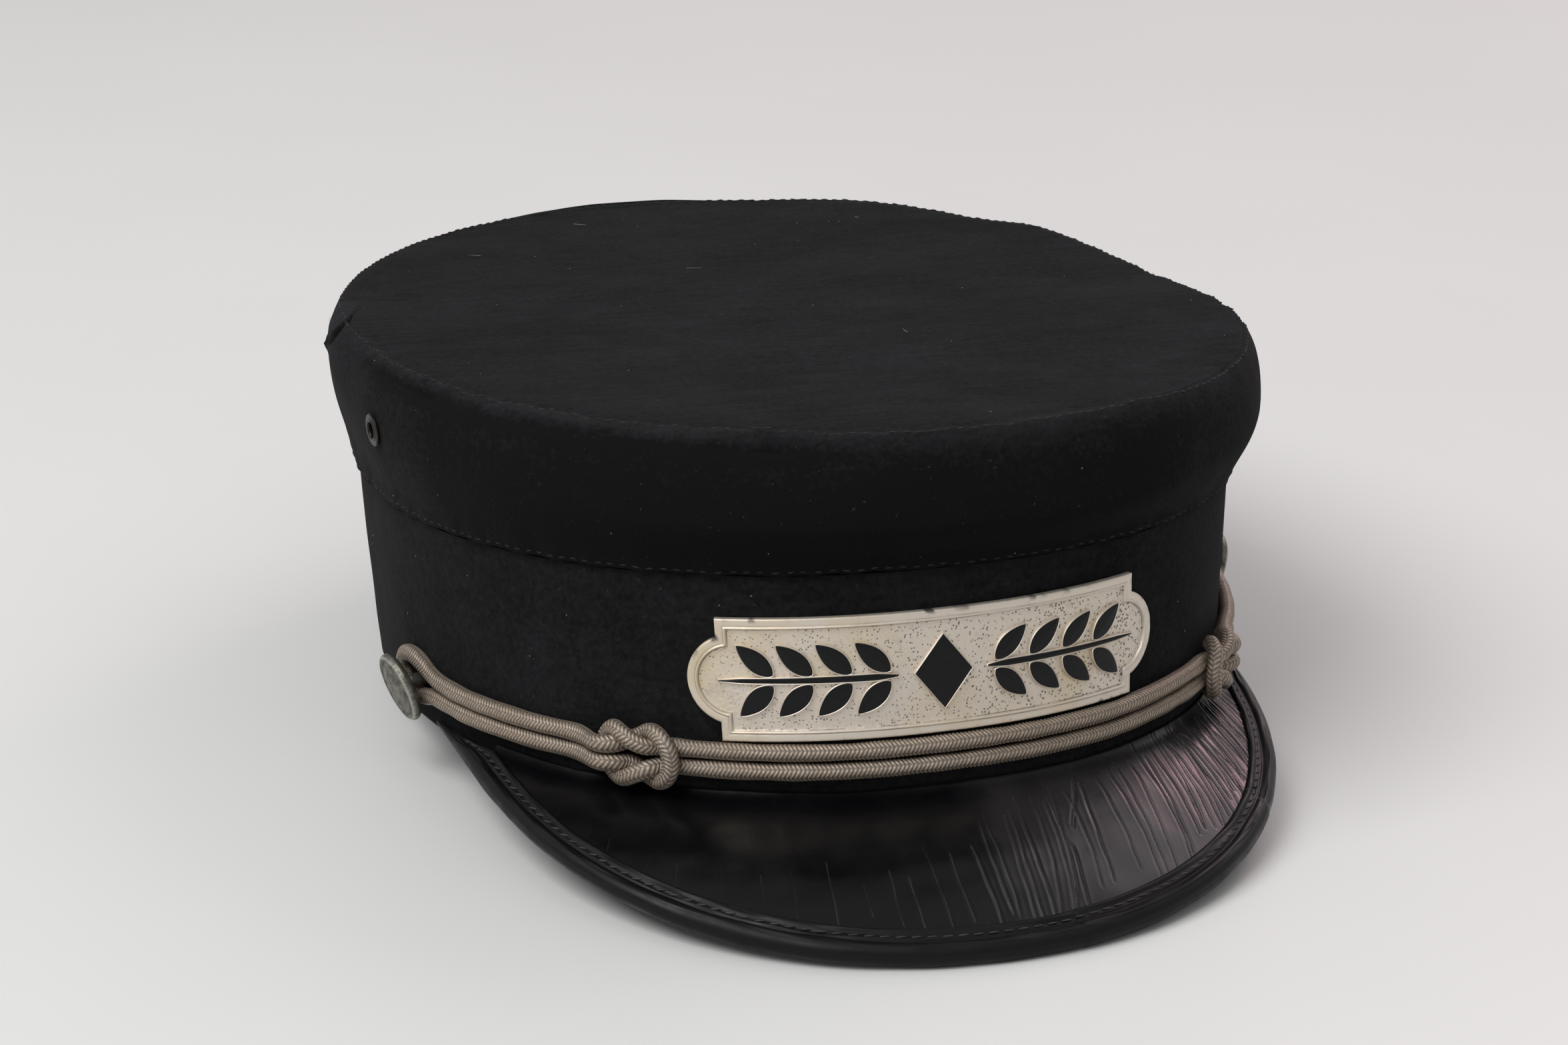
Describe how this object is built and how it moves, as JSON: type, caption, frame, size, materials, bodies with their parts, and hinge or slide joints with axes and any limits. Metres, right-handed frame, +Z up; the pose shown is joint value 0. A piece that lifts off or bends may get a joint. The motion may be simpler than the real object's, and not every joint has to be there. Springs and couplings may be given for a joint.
{
  "type": "railroad porter cap",
  "caption": "Railroad porter's cap: soft oval cloth crown on a straight band, bound patent leather peak, knotted braid cord held by side buttons, and a bent metal badge with enamel leaves.",
  "frame": {"origin": "centre of the bounding box, on the surface that the cap rests on", "axes": "-Y to the front, where the peak is; +X to the wearer's left; +Z up. The cap rests on its peak's bead and the back of its band's lower edge, as it lies by itself."},
  "size_m": [0.1826, 0.2502, 0.0818],
  "materials": {
    "cloth": "black wool serge, matt, with pale lint",
    "patent_leather": "black patent leather, glossy, finely cracked",
    "braid": "metallic thread braid, dull and tarnished to a warm grey",
    "nickel": "worn nickel plate, pitted on its sunk field",
    "tarnished_metal": "stamped white metal, worn and tarnished",
    "enamel": "black vitreous enamel, lightly worn",
    "gunmetal": "black lacquered brass, worn at the rim"
  },
  "bodies": {
    "root": {"crown_top": "cloth", "crown_side": "cloth", "crown_band": "cloth", "peak": "patent_leather", "peak_binding": "patent_leather", "cord_run": "braid", "cord_loop_left": "braid", "cord_loop_right": "braid", "button_left": "tarnished_metal", "button_right": "tarnished_metal", "eyelet_left": "gunmetal", "eyelet_right": "gunmetal", "badge_plate": "nickel", "enamel_spray_left": "enamel", "enamel_lozenge": "enamel", "enamel_spray_right": "enamel"}
  },
  "joints": []
}
